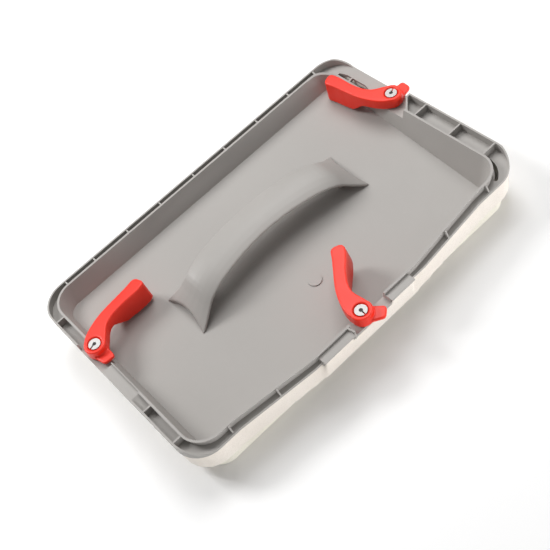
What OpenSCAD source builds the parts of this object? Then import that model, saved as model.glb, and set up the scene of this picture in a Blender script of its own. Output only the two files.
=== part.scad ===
// Sponge float for cleaning and smoothing: a grey moulded tray with an arched hand grip,
// three red turn levers around the rim and a two-layer sponge pad underneath.
// X runs along the long side, +Y is the far long side, Z is up, Z = 0 is the working face.

/* [Tray] */
// Height of the tray rim above the working face
rim_z = 46; // [45.5:0.25:46.5]
// Wall thickness of the tray at the rim
wall_t = 2; // [1.8:0.1:2.2]
// Thickness of the tray floor
floor_t = 2; // [1.8:0.1:2.1]
// Height of the tray floor at the middle
floor_z = 22.9; // [22.8:0.1:23.2]
// Rise of the tray floor towards the far side, per mm of width
floor_rise = 0.07; // [0.066:0.001:0.071]
// Depth of the edge channel below the rim
channel_d = 7.5; // [7:0.1:7.8]
// Thickness of the channel floor
channel_t = 2.5; // [2:0.1:2.5]
// Thickness of the outer lip
lip_t = 1.5; // [1.2:0.1:1.8]
// Thickness of the stiffening ribs in the channel
rib_t = 1.4; // [1:0.1:1.8]

/* [Levers] */
// Thickness of a lever at its hub
hub_h = 10.4; // [10:0.1:10.4]
// Hub radius
hub_r = 9.5; // [9:0.1:9.6]
// Radius of the steel pivot pins
pin_r = 2.5; // [2.3:0.1:2.6]
// Radial running clearance of a lever on its pin
pin_gap = 0.05; // [0.03:0.01:0.1]
// Outer radius of the thrust washer under each hub
washer_r = 5; // [4.5:0.1:5]
// Thickness of the thrust washer
washer_t = 0.8; // [0.6:0.1:0.8]
// Outer radius of the slit retaining ring
ring_r = 5.3; // [5:0.1:5.4]
// Depth of the round recess around the retaining ring
recess_d = 1.7; // [1.6:0.1:1.8]

/* [Handle] */
// Vertical thickness of the grip strap
grip_t = 4; // [3.6:0.1:4.4]
// Share of that thickness taken off at the two edges
edge_thin = 0.45; // [0.35:0.05:0.5]
// Rise of the crown of the strap between its edges
crown_h = 3.2; // [2.6:0.1:3.6]
// Radius of the hollow cut in each foot
foot_cut_r = 55; // [50:1:60]

/* [Sponge pad] */
// Thickness of the lower layer
lower_h = 13; // [12.5:0.1:13]
// Softening of the working edge
edge_soft = 2.5; // [1.5:0.1:3]

/* [Hidden] */
$fn = 64;
eps = 0.01;
arc_n = 10;
channel_z = rim_z - channel_d;
under_z = channel_z - channel_t;
deck_z = rim_z - 2.3;
floor_tilt = atan(floor_rise);
lip_l = -175.6;
lip_r = 182.8;
lip_f = 112.6;
lever_z = channel_z + washer_t + 0.3;
lever_top = lever_z + hub_h;
arm_depth = lever_top - 29.6;
nose_z = lever_top - 8.7;
nose_h = 3.1;
ring_z = lever_top - recess_d + 0.35;
ring_t = 0.9;
boss_r = 5;
boss_z = 30;
grip_x = 2.6;
screw_x = 80;
screw_ys = [7, 23.5];
// pivot x, pivot y, direction of the arm at rest
left_lever = [-164.7, 33.8, 19];
right_lever = [171.8, 26.1, 109];
front_lever = [-4.3, -115.5, 64];
LEVERS = [left_lever, right_lever, front_lever];
far_ribs = [-145.2, -113.9, -75.9, -38, 1.7, 39.6, 79.2, 118.8];
left_ribs = [81.4, -46.3, -85.5];
right_ribs = [-6.6, -46.2, -84.2];
near_ribs = [-137, -92.4, 90.8, 143.6];

// ---------- shared outline helpers ----------

function arc(cx, cy, r, a) =
  [for (i = [0:arc_n]) [cx + r * cos(a + 90 * i / arc_n), cy + r * sin(a + 90 * i / arc_n)]];

// rounded rectangle whose near side bows out between mid_x and break_x
function outline(xl, xr, yf, yc, ym, rf, rn, break_x = 132, mid_x = 53) = concat(
  arc(xr - rf, yf - rf, rf, 0),
  arc(xl + rf, yf - rf, rf, 90),
  arc(xl + rn, yc + rn, rn, 180),
  [[-break_x, yc], [-mid_x, ym], [mid_x, ym], [break_x, yc]],
  arc(xr - rn, yc + rn, rn, 270));

function grow(d) = outline(-165 - d, 165 + d, 105.3 + d, -105.6 - d, -115.2 - d, 20 + d, 20 + d);
function lip_outline(d) =
  outline(lip_l + d, lip_r - d, lip_f - d, -111.7 + d, -119 + d, 25 - d, 25 - d, 132, 60);
function foot_outline(d) = outline(-160.5 - d, 162.3 + d, 97 + d, -100 - d, -109 - d, 12 + d, 14 + d);
// the side walls lean in more where the floor is deeper
function lean(p) = [p.x * (1 - (p.x > 0 ? 0.00027 : 0.00008) * (97 - p.y)), p.y];
function at_z(pts, z, rise = 0) = [for (p = pts) [p.x, p.y, z + rise * p.y]];

module loft(rings) {
  n = len(rings[0]);
  m = len(rings);
  points = [for (r = rings, p = r) p];
  low = [[for (i = [0:n - 1]) i]];
  high = [[for (i = [n - 1:-1:0]) (m - 1) * n + i]];
  left = [for (k = [0:m - 2], i = [0:n - 1]) [k * n + i, (k + 1) * n + i, (k + 1) * n + (i + 1) % n]];
  right = [for (k = [0:m - 2], i = [0:n - 1]) [k * n + i, (k + 1) * n + (i + 1) % n, k * n + (i + 1) % n]];
  polyhedron(points = points, faces = concat(low, high, left, right));
}

function blend4(p, i, t) = 0.5 * (2 * p[i]
  + (p[i + 1] - p[i - 1]) * t
  + (2 * p[i - 1] - 5 * p[i] + 4 * p[i + 1] - p[i + 2]) * t * t
  + (3 * p[i] - p[i - 1] - 3 * p[i + 1] + p[i + 2]) * t * t * t);
function smooth(p, n) = [for (i = [1:len(p) - 3], k = [0:n - 1]) blend4(p, i, k / n)];

module at_lever(l) {
  translate([l[0], l[1], 0]) rotate([0, 0, l[2]]) children();
}

module on_floor() {
  translate([0, 0, floor_z]) rotate([floor_tilt, 0, 0]) children();
}

// ---------- frame ----------

module well_shell() {
  loft([
    at_z([for (p = foot_outline(wall_t)) lean(p)], floor_z - floor_t, floor_rise),
    at_z(grow(wall_t), rim_z)]);
}

module well_cavity() {
  loft([
    at_z([for (p = foot_outline(0)) lean(p)], floor_z, floor_rise),
    at_z(grow(0), rim_z),
    at_z(grow(0), rim_z + 20)]);
}

module channel_plate() {
  difference() {
    translate([0, 0, under_z]) linear_extrude(channel_t) polygon(lip_outline(0));
    translate([0, 0, under_z - 1]) linear_extrude(channel_t + 2) polygon(grow(-1));
  }
}

module lip() {
  difference() {
    translate([0, 0, under_z]) linear_extrude(rim_z - under_z) polygon(lip_outline(0));
    translate([0, 0, under_z - 1]) linear_extrude(rim_z) polygon(lip_outline(lip_t));
    lip_runout();
  }
}

// the lip runs down to the channel floor around both near corners
module lip_runout() {
  translate([200, 0, 0]) rotate([90, 0, -90]) linear_extrude(400)
    polygon([[92, rim_z], [111, channel_z], [160, channel_z], [160, rim_z + 5], [92, rim_z + 5]]);
}

module ribs() {
  for (x = far_ribs)
    translate([x - rib_t / 2, 106, under_z + 1]) cube([rib_t, 6, rim_z - under_z - 1.3]);
  for (y = left_ribs)
    translate([-175, y - rib_t / 2, under_z + 1]) cube([9, rib_t, rim_z - under_z - 1.3]);
  for (y = right_ribs)
    translate([165.6, y - rib_t / 2, under_z + 1]) cube([16.4, rib_t, rim_z - under_z - 1.3]);
  translate([149.5, 103, under_z + 1]) rotate([0, 0, -14])
    cube([rib_t, 8.5, rim_z - under_z - 1.3]);
  for (x = near_ribs) near_gusset(x);
}

function near_y(x) = -107.5 - max(0, min(9.6, (132 - abs(x)) * 9.6 / 79));

module near_gusset(x) {
  y = near_y(x);
  translate([x + rib_t / 2, 0, 0]) rotate([90, 0, -90]) linear_extrude(rib_t)
    polygon([[-y - 1, under_z + 1], [-y + 3.4, under_z + 1], [-y + 3.4, channel_z + 0.6],
      [-y + 1.4, rim_z - 0.6], [-y - 1, rim_z - 0.3]]);
}

// raised decks beside the left and front levers
module decks() {
  translate([lip_l, 0, 0]) rotate([90, 0, 90]) linear_extrude(9.5)
    polygon([[10.5, under_z], [10.5, deck_z], [-29, deck_z], [-43, channel_z], [-43, under_z]]);
  for (x = [[-53, -21], [19, 44]])
    translate([x[0], -121.6, under_z]) cube([x[1] - x[0], 5.4, deck_z - under_z]);
  for (x = [[-53, -21], [19, 44]])
    translate([x[0], -125, deck_z - 1.3]) cube([x[1] - x[0], 8.5, 1.3]);
  translate([-22, -122.6, under_z]) cube([41.1, 6.6, channel_t]);
}

// short walls that close the channel beside the levers
module cross_walls() {
  translate([-22.2, -116, under_z]) rotate([0, 0, 13])
    mirror([0, 1, 0]) cube([1.6, 7.5, rim_z - under_z]);
  translate([165.8, 3, under_z]) rotate([0, 0, -46])
    cube([1.6, 16, rim_z - under_z]);
  translate([177, 13.2, under_z]) cube([5.8, 1.6, rim_z - under_z]);
}

// the wall and lip are cut down to the channel floor where a lever turns
module lever_gaps() {
  top = 20;
  translate([-180, 10.5, channel_z]) cube([22, 37.1, top]);
  translate([-18.4, -140, channel_z]) cube([37.4, 30, top]);
  translate([159, 5, channel_z]) cube([9.2, 83, top]);
  translate([164, 14.8, channel_z]) cube([30, 60, top]);
  translate([140, 0, 0]) rotate([90, 0, 90]) linear_extrude(50)
    polygon([[70, channel_z], [88, channel_z], [106, rim_z], [106, rim_z + top], [70, rim_z + top]]);
  translate([-180, -29, deck_z]) cube([14.2, 39.5 + eps, top]);
}

module channel_slots() {
  for (y = [[0.2, 5.4], [-38, -8], [-77, -48]])
    translate([167.2, y[0], under_z - 1]) cube([4, y[1] - y[0], channel_t + 2]);
  translate([145, -85.3, under_z - 1])
    rotate([0, 0, -64]) rotate_extrude(angle = 58) translate([22.6, 0]) square([3.2, channel_t + 2]);
  translate([0, 0, under_z - 1]) linear_extrude(channel_t + 2)
    polygon([[167.2, 50], [168.4, 50], [171.8, 62], [171.8, 78.2], [167.2, 78.2]]);
  translate([0, 0, under_z - 1]) linear_extrude(channel_t + 2)
    polygon([[167.2, 79.8], [171.8, 79.8], [171.8, 86], [169.4, 94], [167.2, 94]]);
}

module frame() {
  color([0.73, 0.72, 0.7]) difference() {
    union() {
      difference() {
        union() {
          well_shell();
          channel_plate();
          lip();
          ribs();
          decks();
          cross_walls();
        }
        well_cavity();
        lever_gaps();
        channel_slots();
      }
      for (l = LEVERS) translate([l[0], l[1], boss_z]) cylinder(h = channel_z - boss_z, r = boss_r);
      screw_seats();
      on_floor() translate([1.6, -46, -0.2]) cylinder(h = 1.1, r = 6);
    }
    for (l = LEVERS) translate([l[0], l[1], boss_z + 1]) cylinder(h = 20, r = pin_r + 0.01);
    for (s = [-1, 1], y = screw_ys)
      translate([grip_x + s * screw_x, y, 0]) cylinder(h = 40, r = 2.1);
  }
}

// flat pads under the floor for the screw heads
module screw_seats() {
  for (s = [-1, 1], y = screw_ys) {
    z = floor_z + floor_rise * y;
    translate([grip_x + s * screw_x, y, z - 4.2]) cylinder(h = 3.4, r = 5);
  }
}

// ---------- handle ----------

// distance from the middle, near edge y, near edge z, far edge y, far edge z
grip_edge = [
  [-1, 5.3, 48.1, 38.6, 49.6],
  [0, 5.3, 48.1, 38.6, 49.6],
  [23, 4.1, 47.6, 38, 49.2],
  [46, 1.2, 45.8, 35.4, 48.6],
  [59.4, -1.2, 43.9, 32.6, 47.8],
  [72.6, -4.1, 39.3, 28.6, 45.6],
  [82.5, -7.5, 32.4, 29.4, 38.4],
  [89, -10.1, 27.9, 32.6, 33],
  [94, -11.9, 24.4, 35.6, 28.4],
  [99, -13.9, 20.3, 38.6, 23.8],
  [103, -15, 17, 40, 20]];
grip_side = smooth(grip_edge, 3);

function grip_section(g, s) = let (
    w = g[3] - g[1],
    t = grip_t * (1 + 0.45 * max(0, min(1, (g[0] - 60) / 25))),
    x = grip_x + s * g[0],
    low = [for (i = [0:6]) [g[1] + w * i / 6, g[2] + (g[4] - g[2]) * i / 6
      + crown_h * (1 - pow(i / 3 - 1, 2)) - t * (1 - edge_thin * pow(i / 3 - 1, 2))]],
    high = [for (i = [6:-1:0]) [g[1] + w * i / 6, g[2] + (g[4] - g[2]) * i / 6
      + crown_h * (1 - pow(i / 3 - 1, 2))]])
  [for (p = concat(low, high)) [x, p.x, p.y]];

module grip_strap() {
  n = len(grip_side) - 1;
  loft(concat(
    [for (i = [n:-1:1]) grip_section(grip_side[i], -1)],
    [for (i = [0:n]) grip_section(grip_side[i], 1)]));
}

module handle() {
  color([0.74, 0.73, 0.71]) difference() {
    union() {
      grip_strap();
      for (s = [-1, 1], y = screw_ys)
        translate([grip_x + s * screw_x, y, 18]) cylinder(h = 16.5, r = 3.6);
    }
    for (s = [-1, 1])
      translate([grip_x + s * (91.5 + foot_cut_r), 12.5, 0]) cylinder(h = 80, r = foot_cut_r, $fn = 96);
    on_floor() translate([-150, -90, -60 + 0.05]) cube([300, 180, 60]);
    for (s = [-1, 1], y = screw_ys)
      translate([grip_x + s * screw_x, y, 0]) cylinder(h = 31, r = 1.6);
  }
}

module handle_screws() {
  color([0.6, 0.6, 0.62])
    for (s = [-1, 1], y = screw_ys) {
      z = floor_z + floor_rise * y - 4.2;
      translate([grip_x + s * screw_x, y, z - 2.4]) difference() {
        union() {
          cylinder(h = 2.4, r = 3.8);
          cylinder(h = 30.8 - z + 2.4, r = 1.59);
        }
        translate([-2.4, -0.4, -1]) cube([4.8, 0.8, 2.1]);
        translate([-0.4, -2.4, -1]) cube([0.8, 4.8, 2.1]);
      }
    }
}

// ---------- levers ----------

arm_out = smooth([[-9, 2], [-5.6, 7.2], [0, 10.6], [5, 12.2], [11, 13.1], [17, 13.3], [23, 13.1],
  [29, 12.3], [36, 10.9], [42, 9.4], [49, 7.8], [55, 6.4], [60, 5.6], [63, 5.2]], 2);
arm_tip = [[60, 5.6], [63.4, 5.1], [65.6, 3.7], [66.6, 1.2], [66.6, -3.4], [65.7, -5.6], [63.4, -6.8]];
arm_in = smooth([[64, -6.9], [60, -6.6], [55, -5.4], [49, -3.5], [42, -1.1], [36, 0.4], [30, 1.4],
  [24, 1.5], [19, 0.6], [15, -1.5], [11, -4.2], [7, -6.6], [2, -9.2], [-2, -10]], 2);
nose_plan = [[4.6, -8], [2.4, -11.6], [0.2, -17.4], [-1.6, -19], [-3.4, -18.8], [-9, -16.3],
  [-10.3, -14.6], [-10.3, -12.6], [-9, -1]];

module arm_below() {
  rotate([90, 0, 0]) linear_extrude(80, center = true)
    polygon([[-30, lever_z], [21.5, lever_z], [25, lever_z - 0.9], [28, lever_z - 3.2], [31.5, lever_z - 6.3],
      [37, lever_top - arm_depth], [90, lever_top - arm_depth], [90, 0], [-30, 0]]);
}

module lever() {
  difference() {
    union() {
      difference() {
        translate([0, 0, lever_top - arm_depth - 1]) linear_extrude(arm_depth + 1)
          polygon(concat(arm_out, arm_tip, arm_in, [[-2, -6]]));
        arm_below();
      }
      translate([0, 0, lever_z]) cylinder(h = hub_h, r = hub_r);
      translate([0, 0, nose_z]) linear_extrude(nose_h) polygon(nose_plan);
    }
    translate([0, 0, lever_z - 1]) cylinder(h = hub_h + 2, r = pin_r + pin_gap);
    translate([0, 0, lever_top - recess_d]) cylinder(h = recess_d + 1, r = 6.2);
  }
}

module lever_left() {
  color([0.9, 0.15, 0.1]) at_lever(left_lever) lever();
}

module lever_right() {
  color([0.9, 0.15, 0.1]) at_lever(right_lever) lever();
}

module lever_front() {
  color([0.9, 0.15, 0.1]) at_lever(front_lever) lever();
}

// ---------- pivots ----------

module pin() {
  translate([0, 0, boss_z + 1]) cylinder(h = ring_z - boss_z - 1, r = pin_r);
  translate([0, 0, ring_z - eps]) cylinder(h = ring_t - 0.5, r = 1.55);
}

module thrust_washer() {
  translate([0, 0, channel_z]) difference() {
    cylinder(h = washer_t, r = washer_r);
    translate([0, 0, -1]) cylinder(h = washer_t + 2, r = pin_r + 0.05);
  }
}

module retaining_ring() {
  translate([0, 0, ring_z]) difference() {
    cylinder(h = ring_t, r = ring_r);
    translate([0, 0, -1]) cylinder(h = ring_t + 2, r = 1.6);
    translate([0, -0.5, -1]) cube([8, 1, ring_t + 2]);
  }
}

module pivot_pin_left() {
  color([0.62, 0.62, 0.64]) at_lever(left_lever) pin();
}

module pivot_pin_right() {
  color([0.62, 0.62, 0.64]) at_lever(right_lever) pin();
}

module pivot_pin_front() {
  color([0.62, 0.62, 0.64]) at_lever(front_lever) pin();
}

module thrust_washer_left() {
  color([0.85, 0.85, 0.83]) at_lever(left_lever) thrust_washer();
}

module thrust_washer_right() {
  color([0.85, 0.85, 0.83]) at_lever(right_lever) thrust_washer();
}

module thrust_washer_front() {
  color([0.85, 0.85, 0.83]) at_lever(front_lever) thrust_washer();
}

module retaining_ring_left() {
  color([0.86, 0.86, 0.87]) at_lever(left_lever) rotate([0, 0, 175]) retaining_ring();
}

module retaining_ring_right() {
  color([0.86, 0.86, 0.87]) at_lever(right_lever) rotate([0, 0, -85]) retaining_ring();
}

module retaining_ring_front() {
  color([0.86, 0.86, 0.87]) at_lever(front_lever) rotate([0, 0, -160]) retaining_ring();
}

// ---------- sponge pad ----------

module pad_upper() {
  color([0.86, 0.82, 0.76]) difference() {
    union() {
      loft([
        at_z(outline(-173.4, 181.2, 110.8, -110, -117.4, 25, 25, 132, 46), lower_h),
        at_z(outline(-174.8, 182, 111.8, -111.3, -118.8, 25, 25, 132, 56), under_z)]);
      translate([44, 0, 0]) rotate([90, 0, -90]) linear_extrude(97)
        polygon([[116.4, lower_h], [117.4, lower_h], [124.7, deck_z - 1.5], [121.8, deck_z - 1.5],
          [121.8, under_z], [117, under_z]]);
    }
    loft([
      at_z(outline(-161, 168.5, 100, -102.6, -111.3, 15, 15), lower_h - 1),
      at_z(outline(-166, 172.4, 106.5, -107, -116.6, 20, 20), under_z + 1)]);
    for (l = LEVERS) translate([l[0], l[1], boss_z - 0.2]) cylinder(h = 20, r = boss_r + 0.3);
    translate([-22.3, -130, under_z - 0.1]) cube([41.7, 30, 20]);
  }
}

module pad_lower() {
  function slab(d) = outline(-161.7 + d, 168.3 - d, 108 - d, -107.3 + d, -107.3 + d, 16, 16);
  color([0.88, 0.85, 0.77]) loft([
    at_z(slab(edge_soft), 0),
    at_z(slab(edge_soft * 0.3), edge_soft * 0.3),
    at_z(slab(0), edge_soft),
    at_z(slab(0), lower_h)]);
}

frame();
handle();
handle_screws();
lever_left();
lever_right();
lever_front();
pivot_pin_left();
pivot_pin_right();
pivot_pin_front();
thrust_washer_left();
thrust_washer_right();
thrust_washer_front();
retaining_ring_left();
retaining_ring_right();
retaining_ring_front();
pad_upper();
pad_lower();
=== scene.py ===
import math

import bmesh
import bpy
from mathutils import Matrix, Vector, noise


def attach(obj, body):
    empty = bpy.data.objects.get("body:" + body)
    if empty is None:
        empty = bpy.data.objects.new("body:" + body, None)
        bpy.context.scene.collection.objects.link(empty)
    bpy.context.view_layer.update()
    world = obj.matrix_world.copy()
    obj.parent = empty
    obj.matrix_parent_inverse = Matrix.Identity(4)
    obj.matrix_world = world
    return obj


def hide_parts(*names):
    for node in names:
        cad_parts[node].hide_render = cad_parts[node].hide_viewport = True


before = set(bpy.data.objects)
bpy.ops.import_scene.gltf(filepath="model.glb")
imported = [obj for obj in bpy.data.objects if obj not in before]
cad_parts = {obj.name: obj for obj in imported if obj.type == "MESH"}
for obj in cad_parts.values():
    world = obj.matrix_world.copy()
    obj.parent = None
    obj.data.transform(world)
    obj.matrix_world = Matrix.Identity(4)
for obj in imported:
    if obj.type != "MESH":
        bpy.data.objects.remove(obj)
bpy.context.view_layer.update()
MM = 0.001
SCENE = bpy.context.scene
SCENE.view_settings.view_transform = "Standard"

# Rounds and softened edges, in metres.
FRAME_ROUND = 0.4 * MM
RING_ROUND = 0.18 * MM
FLAT_ANGLE = math.radians(0.08)
SHARP_ANGLE = math.radians(28)

# Remeshing of the soft-edged pieces: the voxel size in metres, and the number of smoothing rounds.
LEVER_MELT = (0.55 * MM, 9)
GRIP_MELT = (0.7 * MM, 12)
UPPER_MELT = (1.3 * MM, 5)
LOWER_MELT = (1.5 * MM, 6)


# ---------------------------------------------------------------- node helpers


class Nodes:
    """A small wrapper that keeps material code short."""

    def __init__(self, name):
        self.mat = bpy.data.materials.new(name)
        self.mat.use_nodes = True
        self.tree = self.mat.node_tree
        self.tree.nodes.clear()
        self.out = self.add("ShaderNodeOutputMaterial")
        self.shader = self.add("ShaderNodeBsdfPrincipled")
        self.link(self.shader, "BSDF", self.out, "Surface")
        self.where = self.add("ShaderNodeTexCoord")

    def add(self, kind, **props):
        node = self.tree.nodes.new(kind)
        for key, value in props.items():
            setattr(node, key, value)
        return node

    def link(self, a, out, b, into):
        self.tree.links.new(a.outputs[out], b.inputs[into])

    def noise(self, scale, detail=4.0, rough=0.5, distortion=0.0):
        node = self.add("ShaderNodeTexNoise")
        node.inputs["Scale"].default_value = scale
        node.inputs["Detail"].default_value = detail
        node.inputs["Roughness"].default_value = rough
        node.inputs["Distortion"].default_value = distortion
        self.link(self.where, "Object", node, "Vector")
        return node

    def voronoi(self, scale):
        node = self.add("ShaderNodeTexVoronoi")
        node.inputs["Scale"].default_value = scale
        self.link(self.where, "Object", node, "Vector")
        return node

    def ramp(self, src, out, stops):
        node = self.add("ShaderNodeValToRGB")
        ramp = node.color_ramp
        while len(ramp.elements) < len(stops):
            ramp.elements.new(0.5)
        for element, (pos, value) in zip(ramp.elements, stops):
            element.position = pos
            colour = value if isinstance(value, tuple) else (value,) * 3
            element.color = (*colour, 1.0)
        self.link(src, out, node, "Fac")
        return node

    def mix(self, a, a_out, b, b_out, factor, blend="MIX"):
        node = self.add("ShaderNodeMix", data_type="RGBA", blend_type=blend)
        if isinstance(factor, tuple):
            self.link(factor[0], factor[1], node, 0)
        else:
            node.inputs[0].default_value = factor
        self.link(a, a_out, node, 6)
        self.link(b, b_out, node, 7)
        return node

    def tone(self, colour):
        node = self.add("ShaderNodeRGB")
        node.outputs[0].default_value = (*colour, 1.0)
        return node

    def bump(self, height, out, strength, distance, onto=None):
        node = self.add("ShaderNodeBump")
        node.inputs["Strength"].default_value = strength
        node.inputs["Distance"].default_value = distance
        self.link(height, out, node, "Height")
        if onto is not None:
            self.link(onto, "Normal", node, "Normal")
        return node

    def set(self, **values):
        for key, value in values.items():
            self.shader.inputs[key.replace("_", " ")].default_value = value


def moulded_plastic(name, low, high, rough, worn, spec=0.5, painted_edge_highlight=0.5):
    """Moulded plastic: a fine texture, faint clouding of the pigment, light scuffs, and if asked a painted
    highlight that makes sharp edges paler.
    """
    m = Nodes(name)
    cloud = m.noise(9.0, 5.0, 0.55)
    tint = m.ramp(cloud, "Fac", [(0.3, low), (0.7, high)])
    scuff = m.noise(160.0, 6.0, 0.7, 1.5)
    mark = m.ramp(scuff, "Fac", [(0.58, 0.0), (0.74, worn)])
    pale = m.tone([min(1.0, c * 1.2 + 0.01) for c in high])
    base = m.mix(tint, "Color", pale, "Color", (mark, "Color"))
    # Painted highlight: where the surface curves sharply, the colour is mixed towards the pale tone.
    if painted_edge_highlight:
        edge = m.add("ShaderNodeNewGeometry")
        edge_highlight_mask = m.ramp(edge, "Pointiness", [(0.515, 0.0), (0.58, painted_edge_highlight)])
        base = m.mix(base, 2, pale, "Color", (edge_highlight_mask, "Color"))
    m.link(base, 2, m.shader, "Base Color")
    vary = m.noise(35.0, 4.0, 0.6)
    gloss = m.ramp(vary, "Fac", [(0.25, rough - 0.05), (0.75, rough + 0.07)])
    m.link(gloss, "Color", m.shader, "Roughness")
    fine = m.noise(2600.0, 2.0, 0.6)
    first = m.bump(fine, "Fac", 0.22, 0.0001)
    flow = m.noise(22.0, 3.0, 0.5)
    second = m.bump(flow, "Fac", 0.05, 0.0012, first)
    m.link(second, "Normal", m.shader, "Normal")
    m.set(Specular_IOR_Level=spec, IOR=1.5)
    return m.mat


def metal(name, colour, rough):
    """Plated metal with a fine grain that varies both its tone and its gloss."""
    m = Nodes(name)
    grain = m.noise(900.0, 3.0, 0.6, 0.4)
    tint = m.ramp(grain, "Fac", [(0.3, tuple(c * 0.82 for c in colour)), (0.7, colour)])
    m.link(tint, "Color", m.shader, "Base Color")
    gloss = m.ramp(grain, "Fac", [(0.2, rough), (0.8, rough + 0.15)])
    m.link(gloss, "Color", m.shader, "Roughness")
    fine = m.bump(grain, "Fac", 0.12, 0.0001)
    m.link(fine, "Normal", m.shader, "Normal")
    m.set(Metallic=0.8)
    return m.mat


def sponge(name, low, high, cell):
    """Open foam: two sizes of pore with painted shade inside them, and a soft velvety surface."""
    m = Nodes(name)
    cloud = m.noise(14.0, 5.0, 0.6)
    tint = m.ramp(cloud, "Fac", [(0.3, low), (0.72, high)])
    big = m.voronoi(cell)
    small = m.voronoi(cell * 2.6)
    pit_big = m.ramp(big, "Distance", [(0.0, 0.0), (0.32, 1.0)])
    pit_small = m.ramp(small, "Distance", [(0.0, 0.25), (0.4, 1.0)])
    pits = m.mix(pit_big, "Color", pit_small, "Color", 1.0, "MULTIPLY")
    # Painted shade: the inside of each pore is painted darker.
    pore_shade = m.tone([c * 0.82 for c in low])
    base = m.mix(pore_shade, "Color", tint, "Color", (pits, 2))
    m.link(base, 2, m.shader, "Base Color")
    first = m.bump(pits, 2, 0.4, 0.0005)
    soft = m.noise(60.0, 4.0, 0.6)
    second = m.bump(soft, "Fac", 0.2, 0.001, first)
    m.link(second, "Normal", m.shader, "Normal")
    m.set(Roughness=0.92, Sheen_Weight=0.25, Sheen_Roughness=0.5)
    return m.mat


# The darkest and the lightest tone of each plastic and sponge.
GREY = (0.372, 0.354, 0.335), (0.408, 0.389, 0.369)
# A paler grey for the rounded edges of the frame: a painted highlight.
EDGE_HIGHLIGHT_GREY = (0.52, 0.50, 0.475), (0.58, 0.56, 0.53)
RED = (0.84, 0.022, 0.008), (0.92, 0.034, 0.012)
NYLON = (0.62, 0.61, 0.58), (0.7, 0.69, 0.66)
UPPER_FOAM = (0.86, 0.79, 0.71), (0.93, 0.87, 0.80)
LOWER_FOAM = (0.88, 0.84, 0.73), (0.95, 0.92, 0.82)

# One look per material slot of the record, and one more, paler, for the rounded edges of the frame as a
# painted highlight.
MATS = {
    "grey_plastic": moulded_plastic("grey_plastic_look", *GREY, 0.48, 0.12, 0.35, 0.0),
    "grey_edge_highlight": moulded_plastic("grey_edge_look", *EDGE_HIGHLIGHT_GREY, 0.42, 0.12, 0.4, 0.0),
    "grip_plastic": moulded_plastic("grip_plastic_look", *GREY, 0.46, 0.10, 0.4),
    "red_plastic": moulded_plastic("red_plastic_look", *RED, 0.38, 0.04, 0.4),
    "pin_steel": metal("pin_steel_look", (0.06, 0.055, 0.055), 0.5),
    "washer_plastic": moulded_plastic("washer_look", *NYLON, 0.45, 0.1),
    "ring_steel": metal("ring_steel_look", (0.50, 0.49, 0.48), 0.45),
    "screw_steel": metal("screw_steel_look", (0.55, 0.55, 0.57), 0.35),
    "upper_sponge": sponge("upper_sponge_look", *UPPER_FOAM, 900.0),
    "lower_sponge": sponge("lower_sponge_look", *LOWER_FOAM, 620.0),
}


# ---------------------------------------------------------------- mesh helpers


def new_piece(name, mesh, slot, body, node):
    """Puts a mesh in the scene on its body, in place of the CAD node."""
    obj = bpy.data.objects.new(name, mesh)
    SCENE.collection.objects.link(obj)
    mesh.materials.clear()
    mesh.materials.append(MATS[slot])
    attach(obj, body)
    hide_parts(node)
    return obj


def cad_copy(node):
    """A copy of a CAD node's shape, with the vertices of its separate faces joined up."""
    bm = bmesh.new()
    bm.from_mesh(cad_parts[node].data)
    bmesh.ops.remove_doubles(bm, verts=bm.verts, dist=1e-6)
    return bm


def as_mesh(bm, name):
    """A smooth-shaded mesh made from points and faces alone, without the normals of the CAD file."""
    for index, v in enumerate(bm.verts):
        v.index = index
    points = [tuple(v.co) for v in bm.verts]
    faces = [[v.index for v in f.verts] for f in bm.faces]
    bm.free()
    mesh = bpy.data.meshes.new(name)
    mesh.from_pydata(points, [], faces)
    mesh.update()
    for p in mesh.polygons:
        p.use_smooth = True
    return mesh


def soften(node, name, slot, width, edge_highlight_look=None):
    """A CAD shape, its flat regions merged, its sharp edges rounded. The rounds can have their own paler
    look, a painted highlight.
    """
    bm = cad_copy(node)
    bmesh.ops.dissolve_limit(bm, angle_limit=FLAT_ANGLE, verts=bm.verts, edges=bm.edges)
    obj = new_piece(name, as_mesh(bm, name), slot, "base", node)
    bevel = obj.modifiers.new("round", "BEVEL")
    bevel.width = width
    bevel.segments = 3
    bevel.limit_method = "ANGLE"
    bevel.angle_limit = SHARP_ANGLE
    bevel.use_clamp_overlap = True
    bevel.miter_outer = "MITER_ARC"
    # The rounds get the second material: a painted highlight.
    if edge_highlight_look:
        obj.data.materials.append(MATS[edge_highlight_look])
        bevel.material = 1
    even = obj.modifiers.new("even", "WEIGHTED_NORMAL")
    even.mode = "FACE_AREA"
    even.weight = 90


def melt(bm, name, slot, body, node, fineness):
    """Remeshes a shape finely and smooths it, so that every edge is soft. The result is a plain mesh."""
    voxel, rounds = fineness
    obj = new_piece(name, as_mesh(bm, name), slot, body, node)
    voxels = obj.modifiers.new("voxels", "REMESH")
    voxels.mode = "VOXEL"
    voxels.voxel_size = voxel
    smooth = obj.modifiers.new("smooth", "SMOOTH")
    smooth.factor = 0.5
    smooth.iterations = rounds
    mesh = bpy.data.meshes.new_from_object(obj.evaluated_get(bpy.context.evaluated_depsgraph_get()))
    obj.modifiers.clear()
    obj.data = mesh
    for p in mesh.polygons:
        p.use_smooth = True
    return obj


def paint(node, slot):
    """Gives a CAD node that stays visible its look."""
    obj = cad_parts[node]
    obj.data.materials.clear()
    obj.data.materials.append(MATS[slot])


# ---------------------------------------------------------------- levers

# Where each lever's pivot stands, in millimetres, and how far the lever is turned there, in degrees.
LEVERS = {"left": (-164.7, 33.8, 19.0), "right": (171.8, 26.1, 109.0), "front": (-4.3, -115.5, 64.0)}

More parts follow.
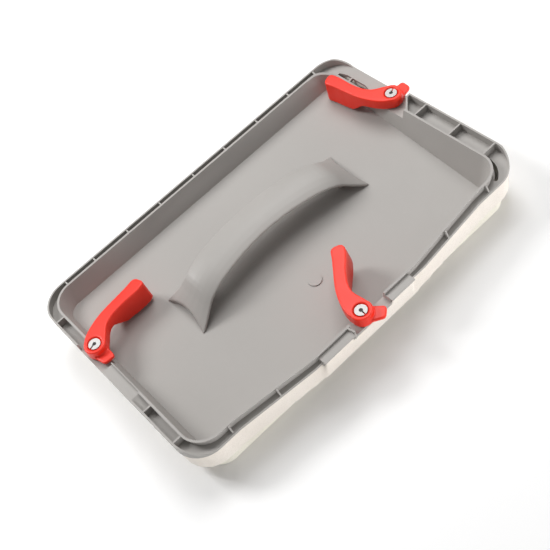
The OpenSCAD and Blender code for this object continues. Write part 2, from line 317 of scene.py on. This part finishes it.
# Millimetres in the lever's own frame, which has its origin on the pivot and +X along the arm.
LEVER_TOP = 50.0
ARM_DEPTH = 20.4
FLARE_FROM = 22
FLARE_RUN = 26
FLARE_OUTER = 1.3
FLARE_INNER = -2.3
MIDDLE = 7.0
MIDDLE_BEND = 30
MIDDLE_SLOPE = 0.2
FLAT_CORE = 4


def lever(side):
    """A lever with soft edges. Its arm widens a little towards the underside, as it leaves the mould."""
    x, y, turned = LEVERS[side]
    place = Matrix.Translation((x * MM, y * MM, 0)) @ Matrix.Rotation(math.radians(turned), 4, "Z")
    back = place.inverted()
    bm = cad_copy(f"lever_{side}")
    for v in bm.verts:
        p = back @ v.co
        along, across, depth = p.x / MM, p.y / MM, LEVER_TOP - p.z / MM
        reach = min(1.0, max(0.0, (along - FLARE_FROM) / FLARE_RUN))
        middle = MIDDLE - max(0.0, along - MIDDLE_BEND) * MIDDLE_SLOPE
        lean = FLARE_OUTER if across > middle else FLARE_INNER
        edge = min(1.0, abs(across - middle) / FLAT_CORE)
        p.y += lean * reach * edge * max(0.0, depth / ARM_DEPTH) * MM
        v.co = place @ p
    melt(bm, f"lever_{side}_moulding", "red_plastic", f"{side}_lever", f"lever_{side}", LEVER_MELT)


for SIDE in LEVERS:
    lever(SIDE)
    paint(f"pivot_pin_{SIDE}", "pin_steel")
    paint(f"thrust_washer_{SIDE}", "washer_plastic")
    soften(f"retaining_ring_{SIDE}", f"ring_{SIDE}", "ring_steel", RING_ROUND)
paint("handle_screws", "screw_steel")


# ---------------------------------------------------------------- frame and grip

# The frame's rounded edges take the paler grey as a painted highlight.
soften("frame", "frame_moulding", "grey_plastic", FRAME_ROUND, "grey_edge_highlight")
melt(cad_copy("handle"), "grip_moulding", "grip_plastic", "base", "handle", GRIP_MELT)


# ---------------------------------------------------------------- sponge


SLOW_WAVE = 22.0
CELLS = 420.0
CELL_RELIEF = 0.12 * MM
INWARD = 0.35


def foam(node, name, slot, fineness, wave, seed):
    """A sponge layer: softened edges, sides that are not quite straight, and a fine cellular skin."""
    obj = melt(cad_copy(node), name, slot, "base", node, fineness)
    normals = [v.normal.copy() for v in obj.data.vertices]
    for v, n in zip(obj.data.vertices, normals):
        side = 1.0 - abs(n.z)
        slow = noise.noise(v.co * SLOW_WAVE + Vector((seed, 0, 0)))
        quick = noise.noise(v.co * CELLS + Vector((0, seed, 0)))
        push = wave * (slow - INWARD) + CELL_RELIEF * quick
        v.co.x += n.x * push * side
        v.co.y += n.y * push * side


foam("pad_upper", "sponge_upper", "upper_sponge", UPPER_MELT, 0.5 * MM, 3.0)
foam("pad_lower", "sponge_lower", "lower_sponge", LOWER_MELT, 0.9 * MM, 11.0)


# ---------------------------------------------------------------- stage, light, camera


FLOOR_REACH = 6.0


def stage_floor():
    """A plain pale floor."""
    mesh = bpy.data.meshes.new("floor")
    r = FLOOR_REACH
    mesh.from_pydata([(-r, -r, 0), (r, -r, 0), (r, r, 0), (-r, r, 0)], [], [(0, 1, 2, 3)])
    floor = bpy.data.objects.new("floor", mesh)
    SCENE.collection.objects.link(floor)
    m = Nodes("floor_look")
    tone = m.noise(3.0, 2.0, 0.5)
    tint = m.ramp(tone, "Fac", [(0.3, (0.96, 0.96, 0.96)), (0.7, (0.98, 0.98, 0.98))])
    m.link(tint, "Color", m.shader, "Base Color")
    m.set(Roughness=0.95)
    mesh.materials.append(m.mat)


def area_light(name, towards, distance, size, power, tall=None):
    """A softbox, hidden from the camera, that stands in the given direction and faces the object."""
    data = bpy.data.lights.new(name, "AREA")
    data.size = size
    if tall:
        data.shape = "RECTANGLE"
        data.size_y = tall
    data.energy = power
    lamp = bpy.data.objects.new(name, data)
    SCENE.collection.objects.link(lamp)
    lamp.visible_camera = False
    at = Vector(towards).normalized() * distance
    lamp.matrix_world = Matrix.Translation(at) @ at.to_track_quat("Z", "Y").to_matrix().to_4x4()


stage_floor()
area_light("key_light", (-0.38, 0.63, 0.69), 1.6, 0.5, 15.0)
area_light("top_light", (0.35, 0.35, 0.9), 1.8, 1.1, 19.0)
area_light("low_near", (0.15, -1.0, 0.055), 1.1, 1.1, 4.0, 0.12)
area_light("low_right", (1.0, -0.45, 0.055), 1.1, 0.8, 4.0, 0.12)

world = bpy.data.worlds.new("studio")
world.use_nodes = True
backdrop = world.node_tree.nodes["Background"]
backdrop.inputs["Color"].default_value = (1, 1, 1, 1)
backdrop.inputs["Strength"].default_value = 0.30
SCENE.world = world

camera_data = bpy.data.cameras.new("camera")
camera_data.lens = 66.3
camera_data.sensor_width = 36.0
camera = bpy.data.objects.new("camera", camera_data)
SCENE.collection.objects.link(camera)
# The camera's own axes. It is rolled, so that the float lies slantwise in the picture.
RIGHT = Vector((0.72261586, -0.63905029, -0.2635167))
UP = Vector((0.65328924, 0.50676898, 0.56249299))
BACK = Vector((-0.22591922, -0.57861898, 0.78368398))
TURN = Matrix((RIGHT, UP, BACK)).transposed()
STAND = (-0.2078, -0.5053, 0.6842)
camera.matrix_world = Matrix.Translation(STAND) @ TURN.to_4x4()
SCENE.camera = camera
